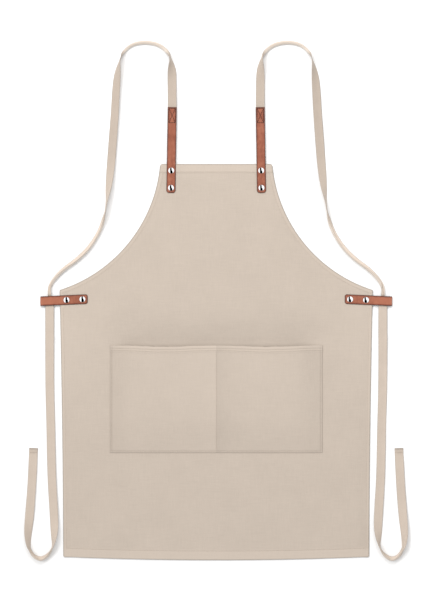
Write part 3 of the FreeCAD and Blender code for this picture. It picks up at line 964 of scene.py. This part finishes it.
# ---- pocket ----
def pocket_height(x, y):
    """The pocket's face: sewn down at its sides, bottom and divider, and gaping at its mouth."""
    up = max(0.0, (y - POCKET_LOW_Y - 8) / (POCKET_TOP_Y - POCKET_LOW_Y - 8))
    side = smooth(6, 62, POCKET_HALF - abs(x))
    middle = 0.55 + 0.45 * smooth(3, 60, abs(x))
    height = POCKET_CLOTH_TOP + POCKET_GAPE * up**1.15 * side * middle
    crease = bell(x, 30) if x > 0 else bell(x, 75)
    height += 3.4 * crease * smooth(0, 70, y - POCKET_LOW_Y)
    free = side * smooth(3, 40, abs(x)) * smooth(10, 60, y - POCKET_LOW_Y)
    height += free * (0.75 * fbm(x, y, 120, 11.3) + 0.25 * fbm(x, y, 46, 5.5))
    top = POCKET_TOP_Y - y
    for inset in MOUTH_STITCH:
        height += seam_pucker(top - inset, x, 6.0) * 0.7
    height += 0.5 * (1 - smooth(12.5, 14, top))
    height += seam_pucker(POCKET_HALF - abs(x) - POCKET_STITCH, y, 8.0) * 0.8
    height += seam_pucker(y - POCKET_LOW_Y - POCKET_STITCH, x, 9.0) * 0.8
    height += seam_pucker(x, y, 10.0) * 0.25 * smooth(POCKET_LOW_Y, POCKET_LOW_Y + 6, y)
    return height


def mouth_sag(x, y):
    """How far the loose mouth droops between its sewn corners and divider."""
    near = smooth(-170, 0, y - POCKET_TOP_Y)
    return near * (-3.2 * bell(abs(x) - 112, 62) + 0.6 * fbm(x, 0.0, 40, 2.2))


def pocket_height_at(x, y):
    """The pocket's height over a place on the drooped cloth."""
    return pocket_height(x, y - mouth_sag(x, y))


def pocket_paleness_and_painted_light(x, y):
    """Paler where the cloth is doubled at the mouth, with painted light on the compartments away from their
    sewn edges and a painted highlight left of the divider.
    """
    doubled = 0.30 * (1 - smooth(12.5, 14, POCKET_TOP_Y - y))
    painted_compartment_light = smooth(10, 90, POCKET_HALF - abs(x)) * smooth(30, 150, y - POCKET_LOW_Y)
    # Painted highlight on the left side of the divider's fold.
    turned = 0.10 * bell(x, 60) if x < 0 else 0.0
    return doubled + 0.16 * painted_compartment_light + turned


def painted_pocket_shade(x, y):
    """Painted shade: dark lines along the pocket's seams and mouth stitching, darker towards its sides and
    bottom, and on the right side of the fold at its divider.
    """
    side = POCKET_HALF - abs(x)
    low = y - POCKET_LOW_Y
    top = POCKET_TOP_Y - y
    shade = 0.27 * (1 - smooth(0.2, 1.8, min(side, low))) + 0.16 * bell(min(side, low) - 4.2, 1.4)
    shade += 0.07 * (1 - smooth(10, 55, side)) + 0.05 * (1 - smooth(10, 90, low))
    for inset in MOUTH_STITCH:
        shade += 0.20 * bell(top - inset - 0.6, 0.9)
    # Painted shade on the right side of the divider's fold.
    if x > 0:
        shade += 0.17 * math.exp(-x / 26)
    return shade + 0.05 * bell(x - 0.5, 1.2)


def grid_lines(low, high, fine_low, fine_high, step):
    """Grid lines between two limits, with given extra ones measured in from each."""
    lines = [low + d for d in fine_low]
    start = lines[-1]
    end = high - fine_high[-1]
    count = round((end - start) / step)
    lines += [start + (end - start) * k / count for k in range(1, count)]
    return lines + [high - d for d in reversed(fine_high)]


def make_pocket():
    edge = (0, 0.6, 1.4, 2.2, 3.0, 3.8, 4.8, 6.5, 9, 12)
    mouth = (0, 0.6, 1.6, 3, 4.3, 5.0, 5.5, 6.0, 7, 8.4, 9.4, 10.1, 10.6, 11.2, 12.4, 13.2, 14.2, 17)
    left = grid_lines(-POCKET_HALF, 0, edge, (0, 0.7, 1.4, 2.4, 4, 7, 11), 4.2)
    xs = left + [-x for x in reversed(left[:-1])]
    ys = grid_lines(POCKET_LOW_Y, POCKET_TOP_Y, edge, mouth, 4.2)
    points = [(x, y + mouth_sag(x, y), pocket_height(x, y)) for y in ys for x in xs]
    columns = len(xs)
    count = len(ys)

    def outward(r, c):
        return (c == columns - 1) - (c == 0), (r == count - 1) - (r == 0)

    roll = ((0.35, 0.3), (0.45, 0.75), (0.1, 1.1))
    margins = (len(edge) - 2, len(mouth) - 3, len(edge) - 2)
    faces = sheet_faces(points, (count, columns), roll, outward, margins, (1.15, 1.15))
    obj = mesh_object("pocket_cloth", points, faces, CANVAS)
    flat = [(x, y - mouth_sag(x, y)) for x, y, z in points]
    # hem: the paler doubled mouth plus painted light; shade: painted shade.
    set_attribute(obj, "hem", [pocket_paleness_and_painted_light(x, y) for x, y in flat])
    set_attribute(obj, "shade", [painted_pocket_shade(x, y) for x, y in flat])
    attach(obj, "apron")
    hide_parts("pocket_patch")


# ---- seams ----
def arc_line(centre, radius, start_y, end_y, side):
    """Plan points between two heights, along an edge curve about a centre outside the panel."""
    steps = 60
    line = []
    for k in range(steps + 1):
        y = start_y + (end_y - start_y) * k / steps
        line.append((side * (centre[0] - math.sqrt(radius**2 - (y - centre[1]) ** 2)), y))
    return line


def make_seams():
    y = BIB_TOP_Y - BIB_STITCH
    tab = 98.5
    bib = [[(-tab + 11, y), (tab - 11, y)], [(-BIB_HALF - 1, y), (-tab - 11, y)],
           [(tab + 11, y), (BIB_HALF + 1, y)]]
    stitched("bib_hem_thread", bib, panel_height, "apron", ["bib_stitching"])
    hem = []
    for k in range(61):
        x = -HEM_CORNER[0] + 4 + (2 * HEM_CORNER[0] - 8) * k / 60
        hem.append((x, hem_line(x) + BOTTOM_STITCH))
    stitched("bottom_hem_thread", [hem], panel_height, "apron", ["bottom_stitching"])
    low = HEM_CORNER[1] + BOTTOM_STITCH + 1
    high = LOOP_MID_Y - LOOP_WIDTH / 2 - 6
    sides = [arc_line(SIDE_CENTRE, SIDE_R + SIDE_STITCH, low, high, side) for side in (-1, 1)]
    stitched("side_hem_thread", sides, panel_height, "apron", ["side_stitching"])
    top = BIB_TOP_Y - BIB_STITCH - 2
    radius = ARMHOLE_R + ARMHOLE_STITCH
    armholes = [arc_line(ARMHOLE_CENTRE, radius, top, 88.5, side) for side in (-1, 1)]
    stitched("armhole_hem_thread", armholes, panel_height, "apron", ["armhole_stitching"])
    side = POCKET_HALF - POCKET_STITCH
    high = POCKET_TOP_Y - MOUTH_STITCH[1] - 2
    low = POCKET_LOW_Y + POCKET_STITCH
    edge = [[(-side, high), (-side, low)], [(-side, low), (side, low)], [(side, low), (side, high)]]
    stitched("pocket_edge_thread", edge, pocket_height_at, "apron", ["pocket_seam_stitching"])
    stitched("pocket_divider_thread", [[(0, high), (0, low + 2)]], pocket_height_at, "apron",
             ["pocket_divider_stitching"])
    mouth = []
    for inset in MOUTH_STITCH:
        y = POCKET_TOP_Y - inset
        xs = [(POCKET_HALF - 1.5) * (k / 40 - 1) for k in range(81)]
        mouth.append([(x, y + mouth_sag(x, y)) for x in xs])
    stitched("pocket_mouth_thread", mouth, pocket_height_at, "apron", ["pocket_mouth_stitching"])


# ---- leather ----
STRIP_STEPS = (0, 0.12, 0.35, 0.75, 1.1, 1.35, 1.6, 1.85, 2.2, 3.0)


def strip_columns(half):
    left = [-half + s for s in STRIP_STEPS]
    count = 10
    start = left[-1]
    left += [start * (1 - k / count) for k in range(1, count)]
    return left + [0.0] + [-x for x in reversed(left)]


def leather_top(across, half, to_end, dents):
    """How far the grain side stands below flat: rounded edges, a creased line and dents at the rivets."""
    inset = min(half - abs(across), to_end)
    drop = 0.42 * (1 - smooth(0, 0.8, inset)) + 0.34 * bell(inset - 1.7, 0.36)
    for distance in dents:
        drop += 0.42 * (1 - smooth(CAP_R - 0.6, CAP_R + 2.2, distance))
    return drop


def end_half(half, to_end, radius):
    """The strip's half width near a rounded end."""
    if to_end >= radius:
        return half
    return half - radius + math.sqrt(max(0.0, radius**2 - (radius - to_end) ** 2))


def leather_strip(name, runs, place, half, start_r, end_r, rivets, paleness):
    """A closed leather strip. place(run, across, level, drop) gives a point: level 1 is the grain side."""
    total = runs[-1]
    columns = strip_columns(half)
    points = []
    edges = []
    pale = []
    for level in (1, 0):
        for run in runs:
            narrow = min(end_half(half, run, start_r), end_half(half, total - run, end_r)) / half
            for a in columns:
                across = a * max(narrow, 0.35)
                dents = [math.hypot(run - r, across) for r in rivets] if level else []
                to_end = min(run, total - run)
                if level:
                    drop = leather_top(a, half, to_end, dents)
                else:
                    drop = -0.12 * (1 - smooth(0, 0.8, half - abs(a)))
                points.append(place(run, across, level, drop))
                inset = min(half - abs(a), to_end)
                edges.append(max(1 - smooth(0.7, 1.5, inset), 0.5 * bell(inset - 2.1, 0.5)))
                pale.append(paleness(run) * smooth(1.0, 5.0, inset))
    rows = len(runs)
    wide = len(columns)
    faces = grid_faces(rows, wide)
    back = rows * wide
    faces += [tuple(reversed(f)) for f in grid_faces(rows, wide, back)]
    loop = [r * wide + c for r, c in border(rows, wide)]
    faces += bridge(loop, [back + k for k in loop])
    obj = mesh_object(name, points, faces, HIDE)
    set_attribute(obj, "edge", edges)
    set_attribute(obj, "pale", pale)
    flip_if_inward(obj)
    return obj


END_STEPS = (0, 0.15, 0.4, 0.8, 1.1, 1.35, 1.6, 1.85, 2.2, 2.8, 3.6, 4.6, 6)


def make_tab(side_name, side):
    length = math.dist(TAB_TOP, TAB_END)

    def place(run, across, level, drop):
        x, y = tab_axis(run, across)
        free = smooth(125.3, 110, run)
        lift = 0.25 * free + 0.12 * math.sin(run / 23.0) * free
        return side * x, y, PANEL_TOP + 0.05 + lift + level * (HIDE_THICK - 0.05) - drop

    runs = grid_lines(0, length, END_STEPS, END_STEPS, 1.6)
    tab = leather_strip(side_name + "_shoulder_tab_hide", runs, place, TAB_WIDTH / 2, 0.8, TAB_END_R,
                        TAB_RIVET_STEPS, lambda run: 0.16)
    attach(tab, "apron")
    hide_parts(side_name + "_shoulder_tab")
    near, far, half = 2.9, 34.0, TAB_WIDTH / 2 - 2.9
    corners = [tab_axis(near, -half), tab_axis(near, half), tab_axis(far, half), tab_axis(far, -half)]
    corners = [(side * x, y) for x, y in corners]
    pairs = ((0, 1), (1, 2), (2, 3), (3, 0), (0, 2), (1, 3))
    lines = [[corners[a], corners[b]] for a, b in pairs]
    stitched(side_name + "_tab_thread", lines, lambda x, y: LEATHER_TOP + 0.12, "apron",
             [side_name + "_tab_stitching"], BROWN_THREAD, radius=0.68, length=3.3)


def make_loop(side_name, side):
    """The folded strip: top layer, round fold and back layer, gripping the side hem."""
    outer = 3.8
    centre_r = outer - HIDE_THICK / 2
    bow_x = LOOP_FOLD_X - outer
    arc = math.pi * centre_r
    flat = bow_x - LOOP_INNER_X

    def spine(run):
        """Distance outward, height and the outward normal of the strip's middle along its run."""
        if run <= flat:
            x = LOOP_INNER_X + run
            level = PANEL_TOP + HIDE_THICK / 2
            bowed = outer + centre_r
            return x, level + (bowed - level) * smooth(345, 360, x), 0.0, 1.0
        if run <= flat + arc:
            angle = (run - flat) / arc * math.pi
            return (bow_x + centre_r * math.sin(angle), outer + centre_r * math.cos(angle),
                    math.sin(angle), math.cos(angle))
        x = bow_x - (run - flat - arc)
        level = 1.2 + HIDE_THICK / 2
        return x, level + (outer - centre_r - level) * smooth(345, 360, x), 0.0, -1.0

    def place(run, across, level, drop):
        x, z, nx, nz = spine(run)
        reach = (level - 0.5) * HIDE_THICK - drop
        px = x + nx * reach
        return -side * px, loop_point(px)[1] + across, z + nz * reach

    runs = grid_lines(0, 2 * flat + arc, END_STEPS, END_STEPS, 1.5)
    rivets = [x - LOOP_INNER_X for x in LOOP_RIVET_X]
    loop = leather_strip(side_name + "_side_loop_hide", runs, place, LOOP_WIDTH / 2, LOOP_END_R, LOOP_END_R,
                         rivets, lambda run: 0.25 + 0.45 * smooth(47, 68, run))
    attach(loop, "apron")
    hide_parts(side_name + "_side_loop")


# ---- rivets ----
def cap_profile():
    """A domed cap from its crown to its rolled rim, as (radius, height above the leather)."""
    profile = []
    for k in range(22):
        t = k / 21
        r = (CAP_R - 0.35) * t
        profile.append((r, CAP_HEIGHT - 1.35 * t**2.4))
    rim = ((0.1, 0.58), (0.0, 0.40), (0.05, 0.16), (0.35, 0.0), (1.2, -0.25))
    return profile + [(CAP_R - inset, z) for inset, z in rim]


def make_caps(name, places, body, node):
    points = []
    faces = []
    around = 64
    profile = cap_profile()[1:]
    for x, y in places:
        crown = len(points)
        points.append((x, y, LEATHER_TOP + CAP_HEIGHT))
        first = len(points)
        for r, z in profile:
            for k in range(around):
                angle = 2 * math.pi * k / around
                points.append((x + r * math.cos(angle), y + r * math.sin(angle), LEATHER_TOP + z))
        faces += [(crown, first + k, first + (k + 1) % around) for k in range(around)]
        faces += [tuple(reversed(f)) for f in grid_faces(len(profile), around, first, closed=True)]
        faces.append(tuple(len(points) - 1 - k for k in range(around)))
    obj = mesh_object(name, points, faces, NICKEL)
    flip_if_inward(obj)
    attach(obj, body)
    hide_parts(node)


def make_rivets(side_name, side):
    tab = [tab_axis(step) for step in TAB_RIVET_STEPS]
    loop = [loop_point(x) for x in LOOP_RIVET_X]
    for end, places in (("_shoulder", tab), ("_side", loop)):
        places = [(side * x, y) for x, y in places]
        make_caps(side_name + end + "_caps", places, "apron", side_name + end + "_rivet_caps")
        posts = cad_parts[side_name + end + "_rivet_posts"].data
        posts.materials.clear()
        posts.materials.append(NICKEL)
        posts.polygons.foreach_set("use_smooth", [True] * len(posts.polygons))


make_panel()
make_pocket()
make_seams()
for name, sign in (("left", 1), ("right", -1)):
    make_tab(name, sign)
    make_loop(name, sign)
    make_rivets(name, sign)
